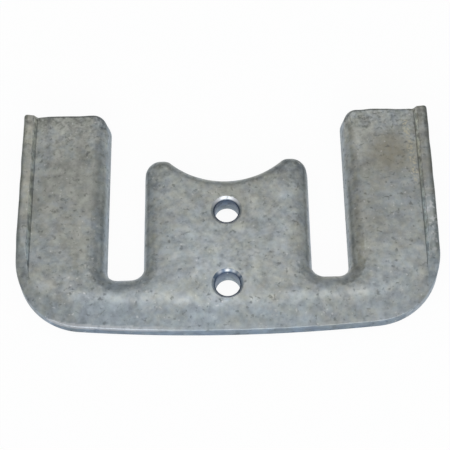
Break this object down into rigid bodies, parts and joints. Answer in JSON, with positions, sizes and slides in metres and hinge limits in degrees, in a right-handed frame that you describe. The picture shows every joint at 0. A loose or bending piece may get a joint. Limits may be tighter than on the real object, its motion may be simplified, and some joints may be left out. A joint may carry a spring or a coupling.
{
  "type": "sacrificial anode",
  "caption": "Cast plate anode with arms and a notched tongue between open slots, raised side lips, a sloped bottom edge and a straight pair of bolt holes",
  "frame": {"origin": "midway between the two bolt holes, on the flat back face", "axes": "+X across the arms, +Y towards the free ends of the arms, +Z out of the rounded face"},
  "size_m": [0.1356, 0.0775, 0.0104],
  "materials": {
    "cast_metal": "as-cast, dull grey, mottled with small dark pits"
  },
  "bodies": {
    "root": {"anode_plate": "cast_metal"}
  },
  "joints": []
}
